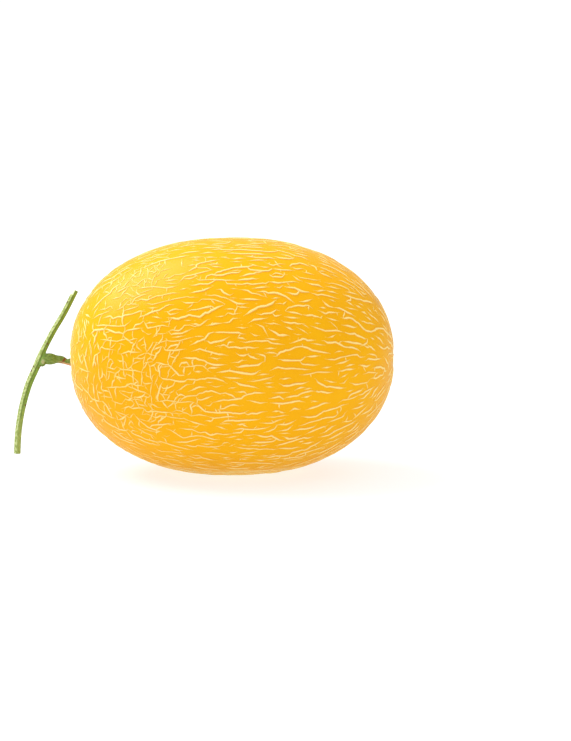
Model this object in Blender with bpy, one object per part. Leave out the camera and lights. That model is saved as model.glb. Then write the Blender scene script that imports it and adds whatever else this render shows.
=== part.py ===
"""A whole netted canary melon lying on its side, with the piece of vine left on its stem.

The fruit is a superellipsoid of revolution about X, stem end at -X, pressed flat where it lies.
Its corky net is a Voronoi net of the rind: every net line is a crest between two sunken cells.
The origin is the middle of the flat spot that the fruit rests on, with +Z up. Units are metres.
"""

import math

import bmesh
import bpy
import numpy as np
from mathutils import Vector

# The fruit
FRUIT_LENGTH = 0.2150  # from the stem end to the blossom end
FRUIT_WIDTH = 0.1580  # across its middle
FULLNESS = 2.2  # exponent of the outline: 2 is an ellipse, more is fuller in the shoulders
SPOT_DEPTH = 0.0010  # how far the underside is pressed in where the fruit lies

# The net
CELLS = 700  # cells that the net divides the rind into
SQUASH = 0.42  # the net is even on a rind squashed to this length, so its cells are long along X
LINE_WIDTH = 0.0020  # a net line across its foot
LINE_HEIGHT = 0.00080  # a net line above the rind
SWELL_WAVES = [(210.0, 340.0, 170.0), (-130.0, 90.0, 400.0)]  # headings, in radians a metre, of its swell
SWELL = 0.3  # the share by which a line swells and sinks
WORN_BELOW, WHOLE_ABOVE = 0.0003, 0.0025  # heights between which the net grows out of the worn flat spot
SHORTEST_LINE = 0.0032  # net lines shorter than this shrink to one crossing
LONGEST_LINE = 0.0200  # net lines longer than this get a bend in their middle
WANDER_WAVES = [(0.030, 0.0010), (0.019, 0.0007), (0.012, 0.0004), (0.008, 0.0002)]  # wavelength and size
WAVES_OF_EACH = 3
SEED_JITTER = 0.22  # how far a cell's seed strays, as a share of the spacing
NET_SEED = 11
RING = 6  # cells round the one at each end of the fruit
RING_SPREAD = 1.05  # their distance from it, as a share of the spacing

# The two ends of the fruit
STEM_DROP = 0.0036  # the stem sits this far below the fruit's own axis
STEM_SEAT_DEPTH = 0.0010
STEM_SEAT_RADII = (0.0042, 0.0100)  # of the bottom of the stem's seat and of its rim
BLOSSOM_SCAR_DEPTH = 0.0006
BLOSSOM_SCAR_RADII = (0.0030, 0.0090)
STEM_GAP = 0.0003  # between the stem's foot and the fruit
COLLAR_RADIUS = 0.0058  # of the ring of net round the stem's foot
SCAR_RADIUS = 0.0054  # of the ring of net round the blossom scar

# The vine, as (x, y, z) of its centre line and its radius, from the upper cut to the lower one
VINE_ROUTE = [
    (-0.1045, 0.0080, 0.1206, 0.00185),
    (-0.1118, 0.0058, 0.1064, 0.00195),
    (-0.1186, 0.0034, 0.0952, 0.00200),
    (-0.1250, 0.0006, 0.0832, 0.00205),
    (-0.1277, -0.0002, 0.0765, 0.00265),
    (-0.1307, -0.0010, 0.0700, 0.00240),
    (-0.1357, -0.0034, 0.0585, 0.00235),
    (-0.1399, -0.0060, 0.0430, 0.00225),
    (-0.1422, -0.0080, 0.0280, 0.00220),
    (-0.1431, -0.0092, 0.0130, 0.00220),
]
# The stalk from the vine to the fruit, in the same form: thick at the vine, with a waist near the fruit
STALK_FOOT_X = -FRUIT_LENGTH / 2 + STEM_SEAT_DEPTH - STEM_GAP
STALK_ROUTE = [
    (-0.1268, 0.0000, 0.0765, 0.00330),
    (-0.1216, 0.0000, 0.0766, 0.00380),
    (-0.1190, 0.0001, 0.0764, 0.00345),
    (-0.1165, 0.0002, 0.0763, 0.00262),
    (-0.1137, 0.0002, 0.0760, 0.00258),
    (-0.1116, 0.0001, 0.0752, 0.00222),
    (-0.1100, 0.0000, 0.0744, 0.00185),
    (-0.1084, 0.0000, 0.0744, 0.00232),
    (STALK_FOOT_X, 0.0000, 0.0744, 0.00290),
]
RIBS = 5  # ridges along a melon vine
RIB_HEIGHT = 0.07  # of a ridge, as a share of the vine's radius
VINE_SIDES = 15
STEP_ALONG_VINE = 0.0036
STEP_ALONG_STALK = 0.0017
CUT_SLANT = 0.0030  # how far the upper cut leans along the vine
LEAF_SCAR_PLACE = (-0.1262, -0.0022, 0.0741)
LEAF_SCAR_SIZE = (0.0024, 0.0015, 0.0026)  # half its width, its thickness and its height
SHARP_FROM = math.radians(50)  # edges sharper than this aren't shaded smooth

HALF_LENGTH = FRUIT_LENGTH / 2
RADIUS = FRUIT_WIDTH / 2
CENTRE = np.array([0.0, 0.0, RADIUS - SPOT_DEPTH])

GOLDEN_ANGLE = math.pi * (3 - math.sqrt(5))
CUT_TOLERANCE = 1e-6  # points nearer than this to the ground count as on it
HALVINGS = 40  # in a search by halves, enough for a float's last digit


def outline_sum(points, half_length=HALF_LENGTH):
    """|x/a|^n + (r/b)^n for points about the fruit's centre: 1 on the rind, less inside it."""
    along = np.abs(points[..., 0]) / half_length
    across = np.hypot(points[..., 1], points[..., 2]) / RADIUS
    return along**FULLNESS + across**FULLNESS


def on_rind(points):
    """Points moved straight out from the fruit's centre until they lie on the smooth rind."""
    return points * outline_sum(points)[..., None] ** (-1 / FULLNESS)


def outward(points):
    """Unit normals of the rind: the gradient of outline_sum."""
    across = np.maximum(np.hypot(points[..., 1], points[..., 2]), 1e-9)
    slope_x = np.sign(points[..., 0]) * (np.abs(points[..., 0]) / HALF_LENGTH) ** (FULLNESS - 1)
    slope_r = (across / RADIUS) ** (FULLNESS - 1) / RADIUS / across
    normal = np.stack([slope_x / HALF_LENGTH, points[..., 1] * slope_r, points[..., 2] * slope_r], axis=-1)
    return normal / np.linalg.norm(normal, axis=-1, keepdims=True)


def smoothstep(low, high, value):
    share = np.clip((value - low) / (high - low), 0, 1)
    return share * share * (3 - 2 * share)


def wander(points):
    """A smooth drift of the net, so that its lines waver: a sum of plane waves in random directions."""
    rng = np.random.default_rng(NET_SEED + 1)
    drift = np.zeros_like(points)
    for wavelength, size in WANDER_WAVES:
        for _ in range(WAVES_OF_EACH):
            heading, push = rng.normal(size=(2, 3))
            phase = rng.uniform(0, 2 * math.pi)
            wave = np.sin(points @ heading / np.linalg.norm(heading) * 2 * math.pi / wavelength + phase)
            drift += wave[..., None] * push / np.linalg.norm(push) * size
    return drift


def cell_seeds():
    """A seed for each cell: one at each end, a ring of six round it, and a jittered golden spiral between."""
    turn = np.linspace(0, math.pi, 4001)
    profile_x = -SQUASH * HALF_LENGTH * np.sign(np.cos(turn)) * np.abs(np.cos(turn)) ** (2 / FULLNESS)
    profile_r = RADIUS * np.sin(turn) ** (2 / FULLNESS)
    band = np.hypot(np.diff(profile_x), np.diff(profile_r)) * (profile_r[1:] + profile_r[:-1]) / 2
    share = np.concatenate([[0], np.cumsum(band)]) / band.sum()
    spacing = math.sqrt(2 * math.pi * band.sum() / CELLS)
    number = np.arange(1 + RING, CELLS - 1 - RING)
    where = np.interp((number + 0.5) / CELLS, share, turn)
    x, r = np.interp(where, turn, profile_x), np.interp(where, turn, profile_r)
    angle = number * GOLDEN_ANGLE
    spiral = np.stack([x, r * np.cos(angle), r * np.sin(angle)], axis=1)
    spiral += np.random.default_rng(NET_SEED).normal(size=spiral.shape) * SEED_JITTER * spacing / math.sqrt(3)
    spoke = np.arange(RING) * 2 * math.pi / RING
    ring = np.stack([0 * spoke, np.cos(spoke), np.sin(spoke)], axis=1) * RING_SPREAD * spacing
    end = np.array([SQUASH * HALF_LENGTH, 0, 0])
    seeds = squashed_to_rind(np.vstack([[-end], ring - end, spiral, ring + end, [end]]))
    seeds[:, 2] -= STEM_DROP * smoothstep(0, SQUASH * HALF_LENGTH, -seeds[:, 0])
    return squashed_to_rind(seeds)


def squashed_to_rind(points):
    """Points moved out from the centre on to the squashed rind."""
    return points * outline_sum(points, SQUASH * HALF_LENGTH)[..., None] ** (-1 / FULLNESS)


def joined_seeds(seeds):
    """The seeds joined in triangles: a convex hull on a ball, then edges turned until they suit the rind."""
    on_ball = seeds / np.array([SQUASH * HALF_LENGTH, RADIUS, RADIUS])
    on_ball /= np.linalg.norm(on_ball, axis=1, keepdims=True)
    mesh = bmesh.new()
    for point in on_ball:
        mesh.verts.new(point)
    mesh.verts.index_update()
    bmesh.ops.convex_hull(mesh, input=mesh.verts)
    for vert, seed in zip(mesh.verts, seeds):
        vert.co = seed
    bmesh.ops.beautify_fill(mesh, faces=mesh.faces, edges=mesh.edges, method="ANGLE")
    mesh.faces.index_update()
    mesh.normal_update()
    return mesh


def crossings_of(triangles):
    """Where the net's lines cross: the point of the rind as far from each corner of a triangle of seeds."""
    a, b, c = triangles[:, 0], triangles[:, 1], triangles[:, 2]
    normal = np.cross(b - a, c - a)
    normal *= np.sign((normal * a).sum(1, keepdims=True))
    size = (normal**2).sum(1, keepdims=True)
    ab, ac = ((b - a) ** 2).sum(1, keepdims=True), ((c - a) ** 2).sum(1, keepdims=True)
    turn = np.sign((normal * np.cross(b - a, c - a)).sum(1, keepdims=True))
    middle = a + turn * (np.cross(normal, b - a) * ac + np.cross(c - a, normal) * ab) / (2 * size)
    normal /= np.sqrt(size)
    low, high = np.full(len(a), -RADIUS / 4), np.full(len(a), RADIUS)
    for _ in range(HALVINGS):
        half = (low + high) / 2
        inside = outline_sum(middle + half[:, None] * normal, SQUASH * HALF_LENGTH) < 1
        low, high = np.where(inside, half, low), np.where(inside, high, half)
    return middle + low[:, None] * normal


def net_of_cells():
    """(crossings, cells): points of the rind, and for each cell the ring of its crossings."""
    mesh = joined_seeds(cell_seeds())
    triangles = np.array([[vert.co for vert in face.verts] for face in mesh.faces])
    crossings = crossings_of(triangles)
    crossings[:, 0] /= SQUASH
    crossings = on_rind(crossings + wander(crossings))
    cells = []
    for vert in mesh.verts:
        first = loop = vert.link_loops[0]
        ring = []
        while True:
            ring.append(loop.face.index)
            loop = loop.link_loop_prev.link_loop_radial_next
            if loop == first:
                break
        cells.append(ring)
    mesh.free()
    ring_round(crossings, cells[0], -STEM_DROP, COLLAR_RADIUS)
    ring_round(crossings, cells[-1], 0, SCAR_RADIUS)
    return crossings, cells


def ring_round(crossings, ring, height, radius):
    """Moves a ring of crossings on to a circle round one end of the fruit, at that height."""
    middle = np.array([0, 0, height])
    spokes = (crossings[ring] - middle) * [0, 1, 1]
    spokes *= radius / np.linalg.norm(spokes, axis=1, keepdims=True)
    crossings[ring] = on_rind(crossings[ring] * [1, 0, 0] + middle + spokes)


def line_height(points):
    """Height of the net at points of the rind: it swells and sinks, and is worn off the flat spot."""
    swell = 1 - SWELL + SWELL * np.sin(points @ np.transpose(SWELL_WAVES)).prod(-1)
    return LINE_HEIGHT * swell * smoothstep(WORN_BELOW, WHOLE_ABOVE, points[..., 2] + CENTRE[2])


def end_hollow(points):
    """How far the rind sinks at its two ends: the stem's seat and the blossom scar."""
    from_stem = np.hypot(points[..., 1], points[..., 2] + STEM_DROP)
    from_blossom = np.hypot(points[..., 1], points[..., 2])
    seat = STEM_SEAT_DEPTH * (1 - smoothstep(*STEM_SEAT_RADII, from_stem)) * (points[..., 0] < 0)
    scar = BLOSSOM_SCAR_DEPTH * (1 - smoothstep(*BLOSSOM_SCAR_RADII, from_blossom)) * (points[..., 0] > 0)
    return seat + scar


def settle(verts, raised):
    """Puts vertices on the rind, or on the crest of the net where they are raised."""
    points = on_rind(np.array([vert.co for vert in verts]))
    lift = (line_height(points) if raised else 0) - end_hollow(points)
    for vert, point in zip(verts, points + outward(points) * np.broadcast_to(lift, len(points))[:, None]):
        vert.co = point


def bend_long_lines(mesh):
    """Gives long net lines a bend, so that they follow the round of the fruit."""
    long_lines = [edge for edge in mesh.edges if edge.calc_length() > LONGEST_LINE]
    bent = bmesh.ops.subdivide_edges(mesh, edges=long_lines, cuts=1)["geom_inner"]
    middles = [item for item in bent if isinstance(item, bmesh.types.BMVert)]
    points = np.array([vert.co for vert in middles])
    for vert, point in zip(middles, points + wander(2 * points)):
        vert.co = point


def fruit(material):
    """The fruit in one solid: cells drawn on the rind and inset, so that the net stands between them."""
    crossings, cells = net_of_cells()
    mesh = bmesh.new()
    for point in crossings:
        mesh.verts.new(point)
    mesh.verts.ensure_lookup_table()
    for ring in cells:
        mesh.faces.new([mesh.verts[i] for i in ring])
    bmesh.ops.recalc_face_normals(mesh, faces=mesh.faces)
    bmesh.ops.remove_doubles(mesh, verts=mesh.verts, dist=SHORTEST_LINE)
    bend_long_lines(mesh)
    crests = list(mesh.verts)
    floors = list(mesh.faces)
    bmesh.ops.inset_individual(mesh, faces=floors, thickness=LINE_WIDTH / 2, use_even_offset=True)
    middles = bmesh.ops.poke(mesh, faces=floors)["verts"]
    on_crest = set(crests)
    feet = [vert for vert in mesh.verts if vert not in on_crest]
    settle(crests, raised=True)
    settle(feet, raised=False)
    bmesh.ops.translate(mesh, verts=mesh.verts, vec=Vector(CENTRE))
    bmesh.ops.triangulate(mesh, faces=mesh.faces)
    press_flat(mesh)
    bmesh.ops.recalc_face_normals(mesh, faces=mesh.faces)
    return finished("fruit", mesh, material)


def press_flat(mesh):
    """Cuts off what lies below the ground and closes the fruit there with one flat face."""
    everything = list(mesh.verts) + list(mesh.edges) + list(mesh.faces)
    bmesh.ops.bisect_plane(
        mesh, geom=everything, dist=CUT_TOLERANCE, plane_co=(0, 0, 0), plane_no=(0, 0, -1), clear_outer=True
    )
    rim = [edge for edge in mesh.edges if edge.is_boundary]
    for edge in rim:
        for vert in edge.verts:
            vert.co.z = 0
    bmesh.ops.holes_fill(mesh, edges=rim)


def finished(name, mesh, material):
    """A named object from a bmesh, shaded smooth except over sharp edges."""
    data = bpy.data.meshes.new(name)
    mesh.to_mesh(data)
    mesh.free()
    data.shade_smooth()
    data.set_sharp_from_angle(angle=SHARP_FROM)
    data.materials.append(material)
    obj = bpy.data.objects.new(name, data)
    bpy.context.scene.collection.objects.link(obj)
    return obj


def smooth_route(route, step):
    """Rows (x, y, z, radius) every step along a Catmull-Rom curve through the route's points."""
    knots = np.array([route[0], *route, route[-1]], float)
    rows = []
    for p0, p1, p2, p3 in zip(knots, knots[1:], knots[2:], knots[3:]):
        count = max(1, round(np.linalg.norm(p2[:3] - p1[:3]) / step))
        t = (np.arange(count) / count)[:, None]
        bend = (2 * p0 - 5 * p1 + 4 * p2 - p3) * t**2
        twist = (3 * p1 - p0 - 3 * p2 + p3) * t**3
        rows.append((2 * p1 + (p2 - p0) * t + bend + twist) / 2)
    return np.vstack([*rows, knots[-1]])


def ribbed_stick(name, route, step, material, slant=0.0):
    """A ribbed round stick along a route, closed at both ends; slant leans its first end along itself."""
    rows = smooth_route(route, step)
    centres, radii = rows[:, :3], rows[:, 3]
    along = np.gradient(centres, axis=0)
    along /= np.linalg.norm(along, axis=1, keepdims=True)
    side = np.cross(along, [0.0, 1.0, 0.0])
    side /= np.linalg.norm(side, axis=1, keepdims=True)
    up = np.cross(side, along)
    angle = np.arange(VINE_SIDES) * 2 * math.pi / VINE_SIDES
    swell = 1 + RIB_HEIGHT * np.cos(RIBS * angle)
    ring = side[:, None] * np.cos(angle)[:, None] + up[:, None] * np.sin(angle)[:, None]
    skin = centres[:, None] + ring * (radii[:, None] * swell)[..., None]
    skin[0] += along[0] * (slant * np.cos(angle) / 2)[:, None]
    mesh = bmesh.new()
    rings = [[mesh.verts.new(point) for point in row] for row in skin]
    for near, far in zip(rings, rings[1:]):
        for i in range(VINE_SIDES):
            j = (i + 1) % VINE_SIDES
            mesh.faces.new([near[i], near[j], far[j], far[i]])
    mesh.faces.new(rings[0][::-1])
    mesh.faces.new(rings[-1])
    bmesh.ops.recalc_face_normals(mesh, faces=mesh.faces)
    return finished(name, mesh, material)


def leaf_scar(material):
    """The flat round scar where a leaf stood, on the near side of the vine beside the stalk."""
    mesh = bmesh.new()
    bmesh.ops.create_icosphere(mesh, subdivisions=2, radius=1)
    bmesh.ops.scale(mesh, verts=mesh.verts, vec=LEAF_SCAR_SIZE)
    scar = finished("leaf_scar", mesh, material)
    scar.location = LEAF_SCAR_PLACE
    return scar


def stem(material):
    """The vine with its stalk and leaf scar grown together in one solid."""
    vine = ribbed_stick("stem", VINE_ROUTE, STEP_ALONG_VINE, material, CUT_SLANT)
    grown_on = bpy.data.collections.new("grown_on_the_vine")
    bpy.context.scene.collection.children.link(grown_on)
    for piece in (ribbed_stick("stalk", STALK_ROUTE, STEP_ALONG_STALK, material), leaf_scar(material)):
        bpy.context.scene.collection.objects.unlink(piece)
        grown_on.objects.link(piece)
        piece.hide_render = True
        piece.display_type = "WIRE"
    union = vine.modifiers.new("grown together", "BOOLEAN")
    union.operation = "UNION"
    union.solver = "EXACT"
    union.operand_type = "COLLECTION"
    union.collection = grown_on
    return vine


def plain_material(name, colour, roughness):
    """A Principled material of one linear colour."""
    material = bpy.data.materials.new(name)
    material.use_nodes = True
    shader = material.node_tree.nodes["Principled BSDF"]
    shader.inputs["Base Color"].default_value = (*colour, 1)
    shader.inputs["Roughness"].default_value = roughness
    return material


def main():
    for obj in list(bpy.data.objects):
        bpy.data.objects.remove(obj)
    rind = plain_material("waxy yellow rind", (0.92, 0.46, 0.008), 0.40)
    vine_green = plain_material("green vine", (0.25, 0.31, 0.06), 0.60)
    melon = bpy.data.objects.new("melon", None)
    bpy.context.scene.collection.objects.link(melon)
    for piece in (fruit(rind), stem(vine_green)):
        piece.parent = melon


main()
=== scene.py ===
import math

import bmesh
import bpy
import numpy as np
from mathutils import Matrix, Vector


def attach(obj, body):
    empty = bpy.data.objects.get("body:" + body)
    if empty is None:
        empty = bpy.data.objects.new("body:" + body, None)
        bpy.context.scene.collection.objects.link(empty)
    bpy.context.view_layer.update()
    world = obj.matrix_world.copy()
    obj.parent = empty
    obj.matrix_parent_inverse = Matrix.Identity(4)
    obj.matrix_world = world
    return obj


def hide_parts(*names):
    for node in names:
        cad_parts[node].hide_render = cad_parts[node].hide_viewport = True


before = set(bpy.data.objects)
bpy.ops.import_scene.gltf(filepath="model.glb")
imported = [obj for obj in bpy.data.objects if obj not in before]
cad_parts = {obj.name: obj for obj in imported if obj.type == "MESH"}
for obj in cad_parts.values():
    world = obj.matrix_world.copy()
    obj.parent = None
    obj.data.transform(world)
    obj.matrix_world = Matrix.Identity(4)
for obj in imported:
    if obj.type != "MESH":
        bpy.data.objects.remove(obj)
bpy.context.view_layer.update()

# The whole netted melon with its piece of vine. All sizes are in metres, and +X runs from the stem
# end to the blossom end. Shapes are worked out about the fruit's centre and moved to their place last.

# The fruit, as in the solid
FRUIT_LENGTH = 0.2150
FRUIT_WIDTH = 0.1580
FULLNESS = 2.2  # exponent of the outline: 2 is an ellipse, more is fuller in the shoulders
SPOT_DEPTH = 0.0010  # how far the underside is pressed in where the fruit lies
HALF_LENGTH = FRUIT_LENGTH / 2
RADIUS = FRUIT_WIDTH / 2
CENTRE = np.array([0.0, 0.0, RADIUS - SPOT_DEPTH])
STEM_DROP = 0.0036  # the stem sits this far below the fruit's own axis
STEM_SEAT_DEPTH = 0.0010
STEM_SEAT_RADII = (0.0042, 0.0100)
BLOSSOM_SCAR_DEPTH = 0.0006
BLOSSOM_SCAR_RADII = (0.0030, 0.0090)
GOLDEN_ANGLE = math.pi * (3 - math.sqrt(5))
TINY = 1e-9  # keeps a length that is divided by from being nothing

# The number that each run of random draws starts from
DRAWS = {"cells": 11, "wander": 12, "kept": 13, "knots": 14, "bold": 16, "swell": 17}
DRAWS |= {"rind": 18, "growth": 19, "waver": 20, "uneven": 21, "branches": 73, "crackles": 24, "forks": 25}

# The rind's mesh
RIND_COLUMNS = 384  # points round each of its rings
OUTLINE_SAMPLES = 8001  # places along the outline from which its rings are chosen
RIND_STEP = 0.00132  # between rings of the mesh
END_STEP = 0.00060  # between them near the two ends
END_REACH = (0.008, 0.020)  # from an end: where the rings are closest, and where they are no closer
RIND_SWELLS = [(0.045, 0.00010), (0.024, 0.00006)]  # wavelength and size of its slight unevenness

# Where the rind's colours lie: how far each reaches whole, where it is gone, and how much its edge wavers
EDGE_WAVES = [(0.012, 0.6), (0.005, 0.4)]  # wavelengths of that waver, and their shares of it
SCAR_TAN = (0.0036, 0.0056, 0.0008)  # from the blossom end
SEAT_TAN = (0.0040, 0.0085, 0.0010)  # from the stem
GROUND_PALE = (0.0030, 0.0095, 0.0022)  # over the ground

# The main net's crossings, as in the solid
CELLS = 700
SQUASH = 0.42  # the cells are laid out even on a fruit this much shorter, so that they come out long
WANDER_WAVES = [(0.030, 0.0010), (0.019, 0.0007), (0.012, 0.0004), (0.008, 0.0002)]
WAVES_OF_EACH = 3  # headings of the waves of one wavelength
SEED_JITTER = 0.22  # how far a cell's seed strays, as a share of the seeds' spacing
SPIRAL_SAMPLES = 4001  # places along the outline from which a spiral's turns are chosen
RING = 6  # cells round the one at each end
RING_SPREAD = 1.05  # their seeds' distance from its seed, in spacings
COLLAR_RADIUS = 0.0058  # of the ring of cork round the stem
SCAR_RADIUS = 0.0054  # of the one round the blossom scar
RING_WAVE = 0.06  # how unround the rings of cork are, as a share of their radius
RING_POINTS = 36
CROSSING_SEARCH = (-RADIUS / 4, RADIUS)  # how far in and out from its three seeds a crossing is looked for
HALVINGS = 40  # of that stretch, until the crossing is found

# Which of its lines are drawn, and how they run
CRAZED = [  # places from the fruit's centre round which lines run every way, and how far round them they do
    ((-0.060, -0.062, -0.004), 0.022, 0.058),
    ((-0.060, -0.034, 0.060), 0.010, 0.036),
    ((0.030, 0.066, 0.030), 0.010, 0.046),
    ((-0.020, 0.020, -0.076), 0.010, 0.050),
]
ROUND_END = (-0.094, -0.078)  # x up to which lines run round the stem end, and past which none does
LONG_KEPT = 0.40  # the share of lines along the fruit that are drawn, and none across it or where crazed
LENGTHWISE = (0.960, 0.995)  # cosines to the fruit's length: a line below is across it, and above is along
STRAIGHT_ON = -0.70  # two lines run on as one where the cosine between them is below this
DETACHED = 0.35  # the share of joined ends that stop short
CUT_BACK = (0.0010, 0.0040)  # how much an end that stops short loses
KNOT_STEP = 0.0036  # between the kinks of a line
KNOT_STRAY = 0.00055  # how far a kink strays to a side
NET_STEP = 0.00090  # between the sections of a line
CURVE_STEP = 0.0003  # between the points that its curve is worked out at
MEETS = 0.0010  # an end farther than this from any other line is loose

# The lines that grow on from these and between them
CRACK_STEP = 0.0012  # a line grows by this at a time
MAIN_GROWTH = {"reach": 0.0075, "room": 0.0028}  # how far it goes, and how near to another line it stops
BRANCHES = {"seeds": 4200, "batches": 10, "plain_share": 1.0, "draw": DRAWS["branches"]}
BRANCHES |= {"reach": 0.0120, "busy_reach": 0.0044, "room": 0.0026, "busy_room": 0.0025}
FORKS = {"share": 0.030, "crazed_share": 0.080, "draw": DRAWS["forks"]}
FORKS |= {"reach": 0.0030, "room": 0.0018}
CRACKLES = {"seeds": 9000, "batches": 5, "plain_share": 0.14, "draw": DRAWS["crackles"]}
CRACKLES |= {"reach": 0.0030, "busy_reach": 0.0028, "room": 0.0018, "busy_room": 0.0018}
SHORTEST = (5, 4)  # points of a line that is long enough to be drawn, and where crazed
JOINS = (0.25, 0.95)  # the share of lines heading for one near them that run on into it, and where crazed
HEADS_FOR = 0.45  # a line heads for a place if the cosine between its way and the way there is above this
REACH_SPREAD = 0.5  # usual power of e, either way, that a line's reach is multiplied by
LEAN = math.radians(7)  # usual slant of a line from the fruit's length
ROUND_LEAN = math.radians(26)  # and from a ring round the fruit, near the stem end
CRAZED_LEAN = math.radians(40)  # and from such a ring, where the rind is crazed
ROUND_REACH = 0.9  # how many times as far as a crazed line one near the stem end goes
FORK_TURN = (math.radians(45), math.radians(95))  # between a line and one that forks off it
KINKED = 0.36  # the share of steps at which a line turns
KINK = (math.radians(18), math.radians(20))  # usual turn there, and where the rind is crazed
HOLD = 0.35  # the share of its last turn that it keeps
SEED_STRAY = 0.35  # how far a new line's seed strays from its place, as a share of the seeds' spacing
CUBE = 0.0030  # side of the cubes that sort points by place
CUBES = 84  # of them along each side of the space

# The raised lines' sections, as (across, up) in shares of width and height
FEET = None  # stands for the height of a section's feet, which are in the rind
MAIN_SECTION = [(-0.60, FEET), (-0.44, 0.40), (-0.24, 0.88), (0.0, 1.0)]
MAIN_SECTION += [(-across, up) for across, up in MAIN_SECTION[-2::-1]]
FINE_SECTION = [(-0.56, FEET), (-0.27, 0.85), (0.0, 1.0)]
FINE_SECTION += [(-across, up) for across, up in FINE_SECTION[-2::-1]]
ROOT_DEPTH = 0.00014  # a line's feet are this deep in the rind
MAIN_WIDTH = (0.00070, 0.00130)  # the range of the main lines' widths
BRANCH_WIDTH = (0.00075, 0.00155)
FINE_WIDTH = (0.00074, 0.00130)
LEAST_BOLD = 0.20  # how far into its range of widths the slightest line is
BOLD_SPREAD = 0.60  # how much farther into it the boldest is
BOLD_SWELL = 0.25  # how much a line is now more and now less than that along its length
BROADER_FROM = (-0.060, 0.040)  # x between which lines get broader towards the blossom end
BROADER = (1.04, 1.30)  # how many times as broad they are before it and past it
END_BROADER = 0.25  # how much broader still near the stem end
RISE = 0.34  # a line's height as a share of its width
WIDTH_WAVES = [(0.016, 0.5), (0.007, 0.5)]  # wavelengths of that change, and their shares of it
EDGE_UNEVEN = [(0.0050, 0.12), (0.0024, 0.10)]  # the same for each of its sides, as shares of its width
TAPER = 0.0055  # a line thins out over this length to its end
TIP = (0.22, 0.60)  # the share of its width that is left at a loose end, and at a joined one
WORN_BELOW, WHOLE_ABOVE = 0.0003, 0.0025  # heights between which the net grows out of the worn flat spot
SUNK = 0.00008  # how far within the flat spot the worn lines stay
SHARP_FROM = math.radians(70)  # edges of the lines that are sharper than this stay so

# The vine and its stalk, as in the solid: (x, y, z) of the centre line and its radius
VINE_ROUTE = [
    (-0.1041, 0.0081, 0.1213, 0.00190),
    (-0.1118, 0.0058, 0.1064, 0.00195),
    (-0.1186, 0.0034, 0.0952, 0.00200),
    (-0.1250, 0.0006, 0.0832, 0.00205),
    (-0.1277, -0.0002, 0.0765, 0.00265),
    (-0.1307, -0.0010, 0.0700, 0.00240),
    (-0.1357, -0.0034, 0.0585, 0.00235),
    (-0.1399, -0.0060, 0.0430, 0.00225),
    (-0.1422, -0.0080, 0.0280, 0.00220),
    (-0.1430, -0.0091, 0.0139, 0.00220),
]
STALK_FOOT_X = -HALF_LENGTH + STEM_SEAT_DEPTH + 0.0002
STALK_ROUTE = [
    (-0.1268, 0.0000, 0.0765, 0.00330),
    (-0.1216, 0.0000, 0.0766, 0.00380),
    (-0.1190, 0.0001, 0.0764, 0.00345),
    (-0.1165, 0.0002, 0.0763, 0.00262),
    (-0.1137, 0.0002, 0.0760, 0.00258),
    (-0.1116, 0.0001, 0.0752, 0.00222),
    (-0.1100, 0.0000, 0.0744, 0.00185),
    (-0.1084, 0.0000, 0.0744, 0.00232),
    (STALK_FOOT_X, 0.0000, 0.0744, 0.00290),
]
RIBS = 5
RIB_HEIGHT = 0.07  # as a share of the stick's radius
RIB_TURN = math.radians(-98)  # angle round the stick of one of its ribs, from the side that faces the fruit
TORN_OFF = (0.0038, 0.0048)  # from the upper end: where its pale side is gone, and where it is whole
TORN_SIDE = (0.25, 0.60)  # cosines to the pale side's middle between which it is torn
TORN_DEPTH = 0.60  # the share of the vine's radius that is gone there
LEAF_SCAR_PLACE = (-0.1262, -0.0022, 0.0741)
LEAF_SCAR_SIZE = (0.0024, 0.0015, 0.0026)  # its half sizes along X, Y and Z
VINE_SIDES = 40
VINE_STEP = 0.0008
VINE_GRAIN = 0.00030  # side of the cubes that the vine's parts are grown together from

# Where the vine's colours lie
STALK_FROM = (1.10, 1.70)  # distances from the vine's middle, in its radii, between which the stalk begins
PALE_LIT_TURN = math.radians(-170)  # middle of the vine's pale side, as an angle round it: partly its own paler skin, partly painted light on its lit side
PALE_LIT_HALF = math.radians(72)  # from its middle to its edge
PALE_LIT_EDGE = math.radians(5)  # half of the stretch over which it ends
UNDERSIDE = (-0.1175, -0.1105)  # x between which the stalk's underside turns from green to peach
UNDERSIDE_TURN = (0.0, 0.6)  # cosines to straight down between which it does so round the stalk
CRACK_PLACE = np.array([-0.1120, -0.0020, 0.0757])  # the rust-brown crack round the stalk's neck
CRACK_NORMAL = np.array([0.75, 0.0, -0.66])
CRACK_REACH = (0.0002, 0.0010)  # distances from its middle between which it ends
CRACK_HEART = np.array([-0.1118, -0.0022, 0.0763])  # where it is darkest
CRACK_FADE = (0.0008, 0.0026)  # distances from there over which it fades
CRACK_LEFT = 0.25  # the share of it that is left further off
LEAF_MARK = np.array([-0.1257, -0.0038, 0.0751])  # where the leaf broke off
LEAF_MARK_SHAPE = np.array([1.0, 1.0, 0.7])  # it is taller than wide: distances in Z count for less
LEAF_MARK_REACH = (0.0007, 0.0016)  # the same from the mark's middle
SPECK_CORE = 0.4  # the share of a speck's radius that is wholly brown
SPECKS = [  # brown specks on the vine: x, z and radius
    (-0.1274, 0.0722, 0.0007),
    (-0.1229, 0.0722, 0.0006),
    (-0.1320, 0.0716, 0.0007),
    (-0.1336, 0.0688, 0.0009),
    (-0.1289, 0.0706, 0.0006),
    (-0.1226, 0.0866, 0.0008),
    (-0.1228, 0.0836, 0.0007),
    (-0.1096, 0.1138, 0.0007),
    (-0.1373, 0.0464, 0.0009),
]
CUT_FACE = (0.78, 0.90)  # distances from the vine's middle, in its radii, between which cut flesh ends
CUT_REACH = 0.0052  # how far from an end of the vine there is any
BORDER_TURN = math.radians(9)  # middle of the dark border beside the pale side, past its edge
BORDER = (math.radians(4), math.radians(12))  # from there, where it is dark, and where there is none
BORDER_DARK = 0.7
LIGHT_FOOT = (0.020, 0.060)  # heights below which the vine is lighter, and above which it isn't

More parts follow.
